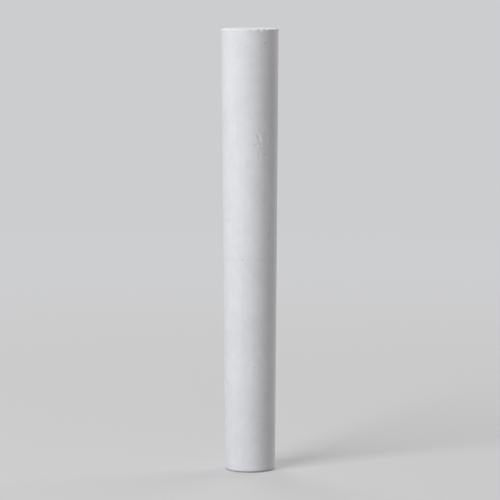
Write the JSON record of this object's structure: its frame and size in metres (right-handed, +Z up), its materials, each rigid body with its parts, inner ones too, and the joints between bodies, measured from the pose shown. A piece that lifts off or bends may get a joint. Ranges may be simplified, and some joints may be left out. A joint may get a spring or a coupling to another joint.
{
  "type": "chalk stick",
  "caption": "Slim round stick of white blackboard chalk for writing, cast solid with a slight taper, flat ends and softly rounded rims.",
  "frame": {"origin": "centre of the narrow end face, which the stick stands on", "axes": "+Z up the stick's axis, from the narrow end to the wide end; the stick is round about it, so X and Y are free, and -Y faces the viewer"},
  "size_m": [0.0102, 0.0102, 0.08],
  "materials": {
    "chalk": "matte"
  },
  "bodies": {
    "root": {"chalk_stick": "chalk"}
  },
  "joints": []
}
